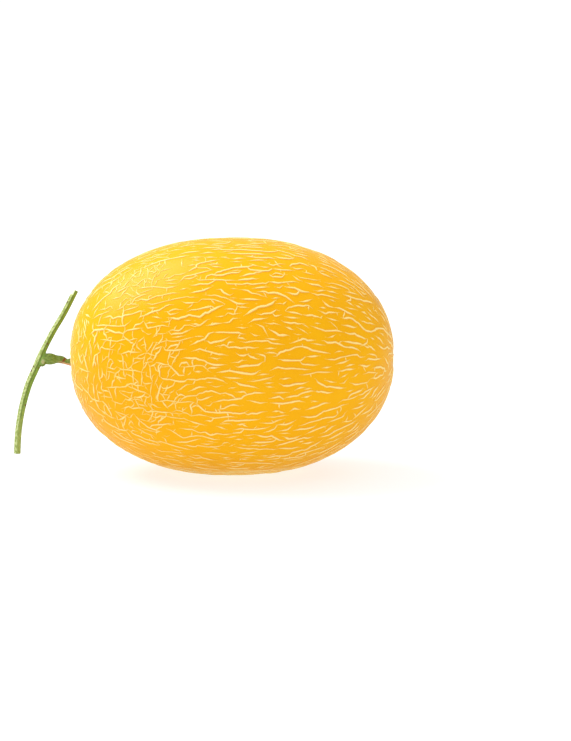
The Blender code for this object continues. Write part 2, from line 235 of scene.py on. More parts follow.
# The photograph's frame
FRAME_PIXELS = np.array([571, 741])
MELON_PIXEL = np.array([232.0, 356.5])  # the melon's centre in it
METRES_A_PIXEL = 0.2150 / 323
CAMERA_RISE = math.radians(10)
CAMERA_DISTANCE = 2.9
SENSOR = 36.0

# The studio
FLOOR_REACH = 12.0  # from the middle of the floor to its sides
ROOM_LEVEL = 1.02  # of the white room's light, where white is 1
ROOM_GLOSS = 0.10  # of what its walls show in reflections
FLOOR_GLOW = 0.66  # light of its own that the lit floor adds to what falls on it
SOFTBOX = {"toward": (-0.57, 0.24, 0.79), "away": 1.3, "size": 1.0, "power": 17.0}


def smoothstep(low, high, value):
    """0 up to low, 1 from high on, and between them 3 s^2 - 2 s^3 of the share s of the way."""
    share = np.clip((value - low) / (high - low), 0, 1)
    return share * share * (3 - 2 * share)


def between(pair, share):
    """What lies this share of the way from the first of a pair to the second."""
    return pair[0] + (pair[1] - pair[0]) * share


def running(parts):
    """The running total of parts, from 0."""
    return np.concatenate([[0], np.cumsum(parts)])


def unit(vectors):
    """Vectors of length 1 that point the same ways."""
    return vectors / np.maximum(np.linalg.norm(vectors, axis=-1, keepdims=True), TINY)


def outline(turn, squash=1.0):
    """(x, r) of the fruit's outline at turns from 0, the stem end, to pi, squashed along X."""
    x = -squash * HALF_LENGTH * np.sign(np.cos(turn)) * np.abs(np.cos(turn)) ** (2 / FULLNESS)
    return x, RADIUS * np.sin(turn) ** (2 / FULLNESS)


def outline_sum(points, half_length=HALF_LENGTH):
    """|x/a|^n + (r/b)^n for points about the fruit's centre: 1 on the rind, less inside it."""
    along = np.abs(points[..., 0]) / half_length
    across = np.hypot(points[..., 1], points[..., 2]) / RADIUS
    return along**FULLNESS + across**FULLNESS


def on_rind(points):
    """Points moved straight out from the fruit's centre until they lie on the smooth rind."""
    return points * outline_sum(points)[..., None] ** (-1 / FULLNESS)


def outward(points):
    """Unit normals of the rind: the gradient of outline_sum."""
    across = np.maximum(np.hypot(points[..., 1], points[..., 2]), TINY)
    slope_x = np.sign(points[..., 0]) * (np.abs(points[..., 0]) / HALF_LENGTH) ** (FULLNESS - 1)
    slope_r = (across / RADIUS) ** (FULLNESS - 1) / RADIUS / across
    normal = np.stack([slope_x / HALF_LENGTH, points[..., 1] * slope_r, points[..., 2] * slope_r], axis=-1)
    return unit(normal)


def lengthwise(points):
    """Unit tangents of the rind that run along the fruit: X with its part along the normal taken off."""
    normal = outward(points)
    return unit(np.array([1.0, 0.0, 0.0]) - normal[..., :1] * normal)


def along_and_aside(points):
    """Unit tangents of the rind along the fruit, and those round it."""
    along = lengthwise(points)
    return along, np.cross(outward(points), along)


def drift(points, waves, seed):
    """A smooth drift at points: a sum of sine waves, each with a random heading, push and phase."""
    rng = np.random.default_rng(seed)
    total = np.zeros_like(points)
    for wavelength, size in waves:
        for _ in range(WAVES_OF_EACH):
            heading, push = rng.normal(size=(2, 3))
            phase = rng.uniform(0, 2 * math.pi)
            wave = np.sin(points @ heading / np.linalg.norm(heading) * 2 * math.pi / wavelength + phase)
            total += wave[..., None] * push / np.linalg.norm(push) * size
    return total


def end_hollow(points):
    """How far the rind sinks at its two ends: the stem's seat and the blossom scar."""
    from_stem = np.hypot(points[..., 1], points[..., 2] + STEM_DROP)
    from_blossom = np.hypot(points[..., 1], points[..., 2])
    seat = STEM_SEAT_DEPTH * (1 - smoothstep(*STEM_SEAT_RADII, from_stem)) * (points[..., 0] < 0)
    scar = BLOSSOM_SCAR_DEPTH * (1 - smoothstep(*BLOSSOM_SCAR_RADII, from_blossom)) * (points[..., 0] > 0)
    return seat + scar


def rind_height(points):
    """Height of the bare rind over the smooth fruit: slight swells, and the hollows at its ends."""
    return drift(points, RIND_SWELLS, DRAWS["rind"])[..., 0] - end_hollow(points)


def crazing(points):
    """From 0, where the net runs along the fruit, to 1, where it runs every way."""
    apart = [np.linalg.norm(points - place, axis=-1) for place, _, _ in CRAZED]
    return np.max([1 - smoothstep(near, far, gap) for gap, (_, near, far) in zip(apart, CRAZED)], axis=0)


def round_the_end(points):
    """From 0 to 1, near the stem end, where the net's lines run round it."""
    return 1 - smoothstep(*ROUND_END, points[..., 0])


def within_an_end(points):
    """Whether points lie inside the rings of cork at the fruit's two ends."""
    at_stem = points[..., 0] < 0
    from_middle = np.hypot(points[..., 1], points[..., 2] + STEM_DROP * at_stem)
    return from_middle < np.where(at_stem, COLLAR_RADIUS, SCAR_RADIUS)


def busy(points):
    """From 0 to 1, where the net's lines are short and close: where it is crazed, and near the stem end."""
    return np.maximum(crazing(points), round_the_end(points))


def spiral(numbers, count, squash):
    """(points of a golden spiral on the squashed rind, each with an equal area, and their spacing)."""
    turn = np.linspace(0, math.pi, SPIRAL_SAMPLES)
    x, r = outline(turn, squash)
    band = np.hypot(np.diff(x), np.diff(r)) * (r[1:] + r[:-1]) / 2
    share = running(band) / band.sum()
    where = np.interp((numbers + 0.5) / count, share, turn)
    x, r = np.interp(where, turn, x), np.interp(where, turn, r)
    angle = numbers * GOLDEN_ANGLE
    spacing = math.sqrt(2 * math.pi * band.sum() / count)
    return np.stack([x, r * np.cos(angle), r * np.sin(angle)], axis=1), spacing


def squashed_to_rind(points):
    """Points moved out from the centre on to the squashed rind."""
    return points * outline_sum(points, SQUASH * HALF_LENGTH)[..., None] ** (-1 / FULLNESS)


def cell_seeds():
    """A seed for each cell: one at each end, six in a ring round it, and a strayed golden spiral."""
    points, spacing = spiral(np.arange(1 + RING, CELLS - 1 - RING), CELLS, SQUASH)
    stray = np.random.default_rng(DRAWS["cells"]).normal(size=points.shape)
    points += stray * SEED_JITTER * spacing / math.sqrt(3)
    spoke = np.arange(RING) * 2 * math.pi / RING
    ring = np.stack([0 * spoke, np.cos(spoke), np.sin(spoke)], axis=1) * RING_SPREAD * spacing
    end = np.array([SQUASH * HALF_LENGTH, 0, 0])
    seeds = squashed_to_rind(np.vstack([[-end], ring - end, points, ring + end, [end]]))
    seeds[:, 2] -= STEM_DROP * smoothstep(0, SQUASH * HALF_LENGTH, -seeds[:, 0])
    return squashed_to_rind(seeds)


def joined_seeds(seeds):
    """The seeds joined in triangles: a hull on a ball, then edges turned until they suit the rind."""
    on_ball = unit(seeds / np.array([SQUASH * HALF_LENGTH, RADIUS, RADIUS]))
    mesh = bmesh.new()
    for point in on_ball:
        mesh.verts.new(point)
    mesh.verts.index_update()
    bmesh.ops.convex_hull(mesh, input=mesh.verts)
    for vert, seed in zip(mesh.verts, seeds):
        vert.co = seed
    bmesh.ops.beautify_fill(mesh, faces=mesh.faces, edges=mesh.edges, method="ANGLE")
    mesh.faces.index_update()
    mesh.verts.ensure_lookup_table()
    mesh.normal_update()
    return mesh


def crossings_of(triangles):
    """Where the net's lines cross: the point of the rind as far from each corner of a triangle of seeds."""
    a, b, c = triangles[:, 0], triangles[:, 1], triangles[:, 2]
    normal = np.cross(b - a, c - a)
    normal *= np.sign((normal * a).sum(1, keepdims=True))
    size = (normal**2).sum(1, keepdims=True)
    ab, ac = ((b - a) ** 2).sum(1, keepdims=True), ((c - a) ** 2).sum(1, keepdims=True)
    turn = np.sign((normal * np.cross(b - a, c - a)).sum(1, keepdims=True))
    middle = a + turn * (np.cross(normal, b - a) * ac + np.cross(c - a, normal) * ab) / (2 * size)
    normal /= np.sqrt(size)
    low, high = (np.full(len(a), end) for end in CROSSING_SEARCH)
    for _ in range(HALVINGS):
        half = (low + high) / 2
        inside = outline_sum(middle + half[:, None] * normal, SQUASH * HALF_LENGTH) < 1
        low, high = np.where(inside, half, low), np.where(inside, high, half)
    return middle + low[:, None] * normal


def net_of_cells():
    """(crossings, pairs): points of the rind, and the two crossings that each line of the net joins."""
    mesh = joined_seeds(cell_seeds())
    triangles = np.array([[vert.co for vert in face.verts] for face in mesh.faces])
    crossings = crossings_of(triangles)
    crossings[:, 0] /= SQUASH
    crossings = on_rind(crossings + drift(crossings, WANDER_WAVES, DRAWS["wander"]))
    pairs = np.array([[face.index for face in edge.link_faces] for edge in mesh.edges])
    rings = [[face.index for face in mesh.verts[i].link_faces] for i in (0, len(mesh.verts) - 1)]
    mesh.free()
    ring_round(crossings, rings[0], -STEM_DROP, COLLAR_RADIUS)
    ring_round(crossings, rings[1], 0, SCAR_RADIUS)
    in_ring = np.isin(pairs, rings[0]).all(1) | np.isin(pairs, rings[1]).all(1)
    return crossings, pairs[~in_ring]


def ring_of_cork(end, height, radius):
    """Points round one end of the fruit, back to the first: the radius waves 2 and 5 times."""
    turn = np.linspace(0, 2 * math.pi, RING_POINTS + 1)
    wavy = radius * (1 + RING_WAVE * (np.sin(2 * turn + 1) + np.sin(5 * turn)) / 2)
    circle = [np.full_like(turn, end * HALF_LENGTH), wavy * np.cos(turn), height + wavy * np.sin(turn)]
    return on_rind(np.stack(circle, axis=1))


def ring_round(crossings, ring, height, radius):
    """Moves a ring of crossings on to a circle round one end of the fruit, at that height."""
    middle = np.array([0, 0, height])
    spokes = (crossings[ring] - middle) * [0, 1, 1]
    spokes *= radius / np.linalg.norm(spokes, axis=1, keepdims=True)
    crossings[ring] = on_rind(crossings[ring] * [1, 0, 0] + middle + spokes)


def drawn_lines(crossings, pairs):
    """The lines of the net that are drawn: some of those that run along it, and none where crazed."""
    rng = np.random.default_rng(DRAWS["kept"])
    middle = on_rind(crossings[pairs].mean(1))
    along = unit(crossings[pairs[:, 1]] - crossings[pairs[:, 0]])
    cosine = np.abs((along * lengthwise(middle)).sum(1))
    kept = LONG_KEPT * smoothstep(*LENGTHWISE, cosine) * (1 - crazing(middle))
    return pairs[rng.random(len(pairs)) < kept]


def chains(crossings, pairs):
    """Lines joined end to end: at each crossing the two that run straightest on go on as one."""
    at = [[] for _ in crossings]
    for number, (a, b) in enumerate(pairs):
        at[a].append((number, b))
        at[b].append((number, a))
    onward = {}
    for here, lines in enumerate(at):
        ways = [crossings[other] - crossings[here] for _, other in lines]
        ways = [way / np.linalg.norm(way) for way in ways]
        turns = [(ways[i] @ ways[j], i, j) for i in range(len(lines)) for j in range(i)]
        if turns and min(turns)[0] < STRAIGHT_ON:
            _, i, j = min(turns)
            onward[here, lines[i][0]] = lines[j]
            onward[here, lines[j][0]] = lines[i]
    done = set()
    found = []
    ends_first = sorted(range(len(pairs)), key=lambda n: all((end, n) in onward for end in pairs[n]))
    for number in ends_first:
        if number in done:
            continue
        start, here = pairs[number] if (pairs[number][0], number) not in onward else pairs[number][::-1]
        chain = [start, here]
        done.add(number)
        while (here, number) in onward and onward[here, number][0] not in done:
            number, here = onward[here, number]
            chain.append(here)
            done.add(number)
        found.append((chain, [len(at[chain[0]]) > 1, len(at[chain[-1]]) > 1]))
    return found


def smooth_route(route, step):
    """Rows every step along a Catmull-Rom curve through the route's rows, measured on their first three."""
    knots = np.array([route[0], *route, route[-1]], float)
    runs = np.linalg.norm(np.diff(knots[1:-1, :3], axis=0), axis=1)
    count = np.maximum(1, np.round(runs / step)).astype(int)
    run = np.repeat(np.arange(len(runs)), count)
    t = ((np.arange(len(run)) - np.repeat(np.cumsum(count) - count, count)) / count[run])[:, None]
    p0, p1, p2, p3 = (knots[run + i] for i in range(4))
    bend = (2 * p0 - 5 * p1 + 4 * p2 - p3) * t**2
    twist = (3 * p1 - p0 - 3 * p2 + p3) * t**3
    return np.vstack([(2 * p1 + (p2 - p0) * t + bend + twist) / 2, knots[-1:]])


def evenly(line, step):
    """Points of the rind every step along a line of straight runs."""
    arc = running(np.linalg.norm(np.diff(line, axis=0), axis=1))
    count = max(2, round(arc[-1] / step))
    places = np.linspace(0, arc[-1], count + 1)
    return on_rind(np.stack([np.interp(places, arc, line[:, i]) for i in range(3)], axis=1))


def main_lines():
    """The main net: a list of (points along a line, whether each end is joined, whether each grows on)."""
    rng = np.random.default_rng(DRAWS["knots"])
    crossings, pairs = net_of_cells()
    found = []
    for chain, joined in chains(crossings, drawn_lines(crossings, pairs)):
        line = smooth_route(on_rind(crossings[chain]), KNOT_STEP)
        line[1:-1] += rng.normal(size=(len(line) - 2, 3)) * KNOT_STRAY
        line = evenly(line, NET_STEP)
        short = [end and rng.random() < DETACHED for end in joined]
        lost = [round(rng.uniform(*CUT_BACK) / NET_STEP) if end else 0 for end in short]
        line = line[lost[0] : len(line) - lost[1]]
        if len(line) > 2:
            held = [end and not cut for end, cut in zip(joined, short)]
            found.append((line, held, [not end for end in joined]))
    for ring in (ring_of_cork(-1, -STEM_DROP, COLLAR_RADIUS), ring_of_cork(1, 0, SCAR_RADIUS)):
        found.append((evenly(ring, NET_STEP), [True, True], [False, False]))
    return found


def empty_space():
    """Cubes of space round the fruit, each with room for one point and the number of its line."""
    return {"place": np.full((CUBES**3, 3), np.inf), "line": np.full(CUBES**3, -1)}


def cube_of(points):
    """The number of the cube of space that each point is in."""
    place = np.floor(points / CUBE).astype(int) + CUBES // 2
    return (place[..., 0] * CUBES + place[..., 1]) * CUBES + place[..., 2]


def take(space, points, line):
    """Puts points of these lines in their cubes."""
    cubes = cube_of(points)
    space["place"][cubes] = points
    space["line"][cubes] = line


def nearest(space, points, *own):
    """(distance, place) of the nearest point of a line not its own, in the cubes round each point."""
    near = np.arange(-1, 2)
    near = ((near[:, None, None] * CUBES + near[:, None]) * CUBES + near).ravel()
    cubes = cube_of(points)[:, None] + near
    apart = np.linalg.norm(space["place"][cubes] - points[:, None], axis=-1)
    for line in own:
        apart[space["line"][cubes] == line[:, None]] = np.inf
    closest = apart.argmin(1)
    row = np.arange(len(points))
    return apart[row, closest], space["place"][cubes[row, closest]]


def grow(space, heads, line, parent, course, wobble, reach, room, rng):
    """Lines that grow on from their heads a step at a time: (points of each step, whether each joins).

    A line runs at its course plus a wobble, both angles from the fruit's length. At some steps it kinks:
    the wobble keeps a share of itself and gains a random turn. The line stops at its reach, or near a line
    that isn't itself or its parent, and may run on into it where it heads for it. A step not taken is NaN.
    """
    count = len(heads)
    growing, joined = np.ones(count, bool), np.zeros(count, bool)
    steps = []
    while growing.any():
        kinked = rng.random(count) < KINKED
        crazed = crazing(heads)
        turned = HOLD * wobble + rng.normal(size=count) * between(KINK, crazed)
        wobble = np.where(kinked, turned, wobble)
        along, aside = along_and_aside(heads)
        angle = (course + wobble)[:, None]
        ahead = on_rind(heads + CRACK_STEP * (np.cos(angle) * along + np.sin(angle) * aside))
        gap, place = nearest(space, ahead, line, parent)
        met = growing & (gap < room)
        way = np.where(met[:, None], place - heads, 0)
        heading = ((ahead - heads) * way).sum(1) > HEADS_FOR * CRACK_STEP * np.linalg.norm(way, axis=1)
        join = met & heading & (rng.random(count) < between(JOINS, crazed))
        joined |= join
        growing &= ~met & ~within_an_end(ahead) & (len(steps) * CRACK_STEP < reach)
        steps.append(np.where(join[:, None], place, np.where(growing[:, None], ahead, np.nan)))
        heads = np.where(growing[:, None], ahead, heads)
        take(space, ahead[growing], line[growing])
    return np.array(steps), joined


def reaches(usual, count, rng):
    """How far each of some lines grows: the usual reach times e to a random power."""
    return usual * np.exp(rng.normal(size=count) * REACH_SPREAD)


def reached(steps):
    """The points of a line's steps that it did take."""
    return steps[~np.isnan(steps[:, 0])]


def grown_on(space, lines):
    """The main lines with their loose ends grown on, bending towards the fruit's length as they go."""
    rng = np.random.default_rng(DRAWS["growth"])
    ends = [(i, end) for i, (_, _, loose) in enumerate(lines) for end in (0, 1) if loose[end]]
    heads = np.array([lines[i][0][-end] for i, end in ends])
    behind = np.array([lines[i][0][1 - 3 * end] for i, end in ends])
    along, aside = along_and_aside(heads)
    angle = np.arctan2(((heads - behind) * aside).sum(1), ((heads - behind) * along).sum(1))
    course = np.where(np.abs(angle) < math.pi / 2, 0, math.pi)
    wobble = (angle - course + math.pi) % (2 * math.pi) - math.pi
    reach = reaches(MAIN_GROWTH["reach"], len(ends), rng)
    numbers = np.array([i for i, _ in ends])
    steps, met = grow(space, heads, numbers, numbers, course, wobble, reach, MAIN_GROWTH["room"], rng)
    grown = [(points, list(joined)) for points, joined, _ in lines]
    for way, (i, end) in enumerate(ends):
        added = reached(steps[:, way])
        points, joined = grown[i]
        joined[end] = bool(met[way])
        grown[i] = (np.vstack([points, added] if end else [added[::-1], points]), joined)
    return grown


def grown_between(space, kind):
    """New lines from seeds spread over the rind, in batches: the first grow long and the last fill in."""
    rng = np.random.default_rng(kind["draw"])
    seeds, spacing = spiral(np.arange(kind["seeds"]), kind["seeds"], 1)
    seeds = on_rind(seeds + rng.normal(size=seeds.shape) * spacing * SEED_STRAY)
    kept = between((kind["plain_share"], 1), busy(seeds))
    kept[within_an_end(seeds)] = 0
    seeds = rng.permutation(seeds[rng.random(len(seeds)) < kept])
    found = []
    for turn, batch in enumerate(np.array_split(seeds, kind["batches"])):
        batch = batch[nearest(space, batch)[0] > room_at(batch, kind)]
        found += grown_both_ways(space, batch, kind, turn > 0, rng)
    return found


def room_at(points, kind):
    """How near to another line a new line may come at each point: nearer where the net is busy."""
    return between((kind["room"], kind["busy_room"]), busy(points))


def grown_both_ways(space, seeds, kind, turned, rng):
    """Lines along the fruit, or round it near the stem end, or if turned, mostly across it where crazed."""
    count = len(seeds)
    numbers = space["line"].max() + 1 + np.arange(count)
    rounding = rng.random(count) < round_the_end(seeds)
    every_way = (rng.random(count) < crazing(seeds) * turned) & ~rounding
    lean = np.select([rounding, every_way], [ROUND_LEAN, CRAZED_LEAN], LEAN)
    course = np.where(rounding | every_way, math.pi / 2, 0) + rng.normal(size=count) * lean
    reach = [ROUND_REACH * kind["busy_reach"], kind["busy_reach"]]
    reach = np.tile(np.select([rounding, every_way], reach, kind["reach"]), 2)
    reach = reaches(reach, 2 * count, rng)
    take(space, seeds, numbers)
    both = [np.tile(seeds, (2, 1)), np.tile(numbers, 2), np.tile(numbers, 2)]
    course = np.concatenate([course, course + math.pi])
    room = np.tile(room_at(seeds, kind), 2)
    steps, met = grow(space, *both, course, np.zeros(2 * count), reach, room, rng)
    found = []
    for i in range(count):
        line = reached(np.vstack([steps[::-1, count + i], seeds[i : i + 1], steps[:, i]]))
        if len(line) >= SHORTEST[int(every_way[i])]:
            found.append((line, [bool(met[count + i]), bool(met[i])]))
    return found


def forked_off(space, lines, kind):
    """Short lines that fork off points within these lines, to either side, more of them where crazed."""
    rng = np.random.default_rng(kind["draw"])
    heads = np.vstack([points[1:-1] for points, _ in lines])
    ahead = np.vstack([points[2:] - points[:-2] for points, _ in lines])
    chosen = rng.random(len(heads)) < between((kind["share"], kind["crazed_share"]), crazing(heads))
    heads, ahead = heads[chosen], ahead[chosen]
    count = len(heads)
    along, aside = along_and_aside(heads)
    course = np.arctan2((ahead * aside).sum(1), (ahead * along).sum(1))
    course += rng.uniform(*FORK_TURN, count) * rng.choice([-1, 1], count)
    parent = space["line"][cube_of(heads)]
    numbers = space["line"].max() + 1 + np.arange(count)
    reach = reaches(kind["reach"], count, rng)
    steps, met = grow(space, heads, numbers, parent, course, np.zeros(count), reach, kind["room"], rng)
    found = []
    for i in range(count):
        line = reached(np.vstack([heads[i : i + 1], steps[:, i]]))
        if len(line) > 2:
            found.append((line, [True, bool(met[i])]))
    return found


def whole_net():
    """(main lines, branches, fine lines), each a list of (points, whether each end is joined)."""
    space = empty_space()
    main = main_lines()
    for number, (points, _, _) in enumerate(main):
        take(space, points, number)
    main = grown_on(space, main)
    branches = grown_between(space, BRANCHES)
    forks = forked_off(space, main + branches, FORKS)
    fine = forks + grown_between(space, CRACKLES)
    lines = curved(main + branches + fine)
    parts = len(main), len(main) + len(branches)
    return lines[: parts[0]], lines[parts[0] : parts[1]], lines[parts[1] :]


def curved(lines):
    """The lines as smooth curves of even steps, each end marked as joined only if it does meet a line."""
    lines = [(evenly(smooth_route(line, CURVE_STEP), NET_STEP), joined) for line, joined in lines]
    points = np.vstack([line for line, _ in lines])
    number = np.repeat(np.arange(len(lines)), [len(line) for line, _ in lines])
    found = []
    for i, (line, joined) in enumerate(lines):
        others = points[number != i]
        apart = [np.linalg.norm(others - end, axis=1).min() for end in line[[0, -1]]]
        if np.linalg.norm(line[0] - line[-1]) < MEETS:
            apart = [0, 0]
        found.append((line, [end and gap < MEETS for end, gap in zip(joined, apart)]))
    return found


def sized(lines, widths):
    """(points, line number, width, height) of all lines, thicker and thinner by turns."""
    rng = np.random.default_rng(DRAWS["bold"])
    points = np.vstack([line for line, _ in lines])
    lengths = np.array([len(line) for line, _ in lines])
    number = np.repeat(np.arange(len(lines)), lengths)
    place = np.arange(len(points)) - np.repeat(np.cumsum(lengths) - lengths, lengths)
    tip = np.where(np.array([joined for _, joined in lines])[number], TIP[1], TIP[0])
    from_end = np.stack([place, lengths[number] - 1 - place], axis=1) * NET_STEP
    taper = np.minimum(TAPER, lengths[number] * NET_STEP / 2)[:, None]
    bold = rng.random(len(lines))[number]
    swell = drift(points, WIDTH_WAVES, DRAWS["swell"])[:, 0]
    width = between(widths, np.clip(BOLD_SPREAD * bold + LEAST_BOLD + BOLD_SWELL * swell, 0, 1))
    width *= between(BROADER, smoothstep(*BROADER_FROM, points[:, 0]))
    width *= 1 + END_BROADER * round_the_end(points)
    width *= between((tip, 1), smoothstep(0, 1, from_end / taper)).min(1)
    worn = smoothstep(WORN_BELOW, WHOLE_ABOVE, points[:, 2] + CENTRE[2])
    return points, number, width, width * RISE * worn


def quads_between(rings, sides):
    """Quads from each of these rings of points to the next, given the number of each ring's first point."""
    k = np.arange(sides)
    after = (k + 1) % sides
    first = rings[:, None]
    quads = np.stack([first + k, first + after, first + sides + after, first + sides + k], axis=-1)
    return quads.reshape(-1, 4).tolist()


def raised_lines(name, lines, widths, section, material):
    """The lines as closed ridges in one mesh: the section carried along each, its feet sunk in the rind."""
    points, number, width, height = sized(lines, widths)
    same = number[1:] == number[:-1]
    ahead = np.vstack([np.where(same[:, None], points[1:], points[:-1]), points[-1:]])
    behind = np.vstack([points[:1], np.where(same[:, None], points[:-1], points[1:])])
    normal = outward(points)
    side = unit(np.cross(normal, ahead - behind))
    across = np.array([place for place, _ in section])
    feet = np.array([up is FEET for _, up in section])
    up = np.array([0 if up is FEET else up for _, up in section])
    lift = np.where(feet, -ROOT_DEPTH, height[:, None] * up) + rind_height(points)[:, None]
    uneven = 1 + drift(points, EDGE_UNEVEN, DRAWS["uneven"])
    beyond = np.where(across < 0, uneven[:, :1], uneven[:, 1:2]) * width[:, None] * across
    skin = points[:, None] + side[:, None] * beyond[..., None] + normal[:, None] * lift[..., None] + CENTRE
    skin[..., 2] = np.maximum(skin[..., 2], SUNK)
    sides = len(section)
    k = np.arange(sides)
    faces = quads_between(np.flatnonzero(same) * sides, sides)
    first = np.flatnonzero(np.concatenate([[True], ~same]))[:, None] * sides
    last = np.flatnonzero(np.concatenate([~same, [True]]))[:, None] * sides
    faces += (first + k[::-1]).tolist() + (last + k).tolist()
    crest, broad = np.tile(up, len(points)), np.repeat(width, sides)
    return finished(name, skin.reshape(-1, 3), faces, material, SHARP_FROM, crest=crest, broad=broad)


def finished(name, points, faces, material, sharp_from=None, **layers):
    """A named piece from arrays of points and faces, shaded smooth, with a float layer for each name."""
    data = bpy.data.meshes.new(name)
    data.from_pydata(points.tolist(), [], faces)
    data.shade_smooth()
    if sharp_from:
        data.set_sharp_from_angle(angle=sharp_from)
    add_layers(data, layers)
    data.materials.append(material)
    return shown(name, data)


def shown(name, data):
    """A new object in the scene for a mesh, a lamp or a camera."""
    made = bpy.data.objects.new(name, data)
    bpy.context.scene.collection.objects.link(made)
    return made


def add_layers(data, layers):
    """Gives a mesh a layer for each name, of a number or of three for each point."""
    for layer, values in layers.items():
        kind, field = ("FLOAT_VECTOR", "vector") if values.ndim == 2 else ("FLOAT", "value")
        made = data.attributes.new(layer, kind, "POINT")
        made.data.foreach_set(field, values.ravel().astype(np.float32))


def rind_rows():
    """Turns of the mesh's rings: a step apart along the outline, less near the two ends."""
    turn = np.linspace(0, math.pi, OUTLINE_SAMPLES)
    x, r = outline(turn)
    arc = running(np.hypot(np.diff(x), np.diff(r)))
    step = between((END_STEP, RIND_STEP), smoothstep(*END_REACH, np.minimum(arc, arc[-1] - arc)))
    rings = running(np.diff(arc) / ((step[1:] + step[:-1]) / 2))
    count = round(rings[-1])
    return np.interp(np.arange(1, count) / count * rings[-1], rings, turn)


def rind(material):
    """The fruit's skin: rings of its outline turned about X, closed by a point at each end."""
    x, r = outline(rind_rows())
    angle = np.arange(RIND_COLUMNS) * 2 * math.pi / RIND_COLUMNS
    around = r[:, None] * np.cos(angle), r[:, None] * np.sin(angle)
    grid = np.stack(np.broadcast_arrays(x[:, None], *around), -1)
    points = np.vstack([grid.reshape(-1, 3), [[-HALF_LENGTH, 0, 0], [HALF_LENGTH, 0, 0]]])
    points = points + outward(points) * rind_height(points)[:, None] + CENTRE
    points[:, 2] = np.maximum(points[:, 2], 0)
    rows = len(x)
    faces = quads_between(np.arange(rows - 1) * RIND_COLUMNS, RIND_COLUMNS)
    start, end = rows * RIND_COLUMNS, rows * RIND_COLUMNS + 1
    last = (rows - 1) * RIND_COLUMNS
    sides = [(a, (a + 1) % RIND_COLUMNS) for a in range(RIND_COLUMNS)]
    faces += [[start, b, a] for a, b in sides] + [[end, last + a, last + b] for a, b in sides]
    return finished("rind", points, faces, material, **rind_layers(points - CENTRE))


def rind_layers(points):
    """Where each of the rind's other colours lies, from 0 to 1: round its two ends and where it lay."""
    waver = drift(points, EDGE_WAVES, DRAWS["waver"])[:, 0]
    from_blossom = np.hypot(points[:, 1], points[:, 2]) + RADIUS * (points[:, 0] < 0)
    from_stem = np.hypot(points[:, 1], points[:, 2] + STEM_DROP) + RADIUS * (points[:, 0] > 0)
    places = {"scar": (from_blossom, SCAR_TAN), "seat": (from_stem, SEAT_TAN)}
    places["ground"] = (points[:, 2] + CENTRE[2], GROUND_PALE)
    layers = {}
    for name, (apart, (near, far, stray)) in places.items():
        layers[name] = 1 - smoothstep(near, far, apart + waver * stray)
    return layers


def stick_axes(rows):
    """Unit vectors at each row of a stick's route: along it, to its side and away in Y."""
    along = unit(np.gradient(rows[:, :3], axis=0))
    side = unit(np.cross(along, [0.0, 1.0, 0.0]))
    return along, side, np.cross(side, along)


def stick(route, torn=False):
    """(points, faces) of a ribbed stick: its radius is multiplied by 1 + height cos(ribs x angle)."""
    rows = smooth_route(route, VINE_STEP)
    _, side, far = stick_axes(rows)
    angle = np.arange(VINE_SIDES) * 2 * math.pi / VINE_SIDES
    swell = np.tile(1 + RIB_HEIGHT * np.cos(RIBS * (angle - RIB_TURN)), (len(rows), 1))
    if torn:
        near_end = 1 - smoothstep(*TORN_OFF, np.arange(len(rows)) * VINE_STEP)
        swell *= 1 - TORN_DEPTH * near_end[:, None] * smoothstep(*TORN_SIDE, np.cos(angle - PALE_LIT_TURN))
    ring = side[:, None] * np.cos(angle)[:, None] + far[:, None] * np.sin(angle)[:, None]
    skin = rows[:, None, :3] + ring * (rows[:, 3:] * swell)[..., None]
    k = np.arange(VINE_SIDES)
    last = (len(rows) - 1) * VINE_SIDES
    faces = quads_between(np.arange(len(rows) - 1) * VINE_SIDES, VINE_SIDES)
    return skin.reshape(-1, 3), faces + [k[::-1].tolist(), (k + last).tolist()]


def beside(points, route):
    """(distance over radius, places in the stick laid straight along X) of points near a stick's route."""
    rows = smooth_route(route, VINE_STEP)
    along, side, far = stick_axes(rows)
    row = np.linalg.norm(points[:, None] - rows[:, :3], axis=-1).argmin(1)
    apart = points - rows[row, :3]
    ahead, right, away = ((apart * axis[row]).sum(1) for axis in (along, side, far))
    return np.hypot(right, away) / rows[row, 3], np.stack([row * VINE_STEP + ahead, right, away], axis=1)


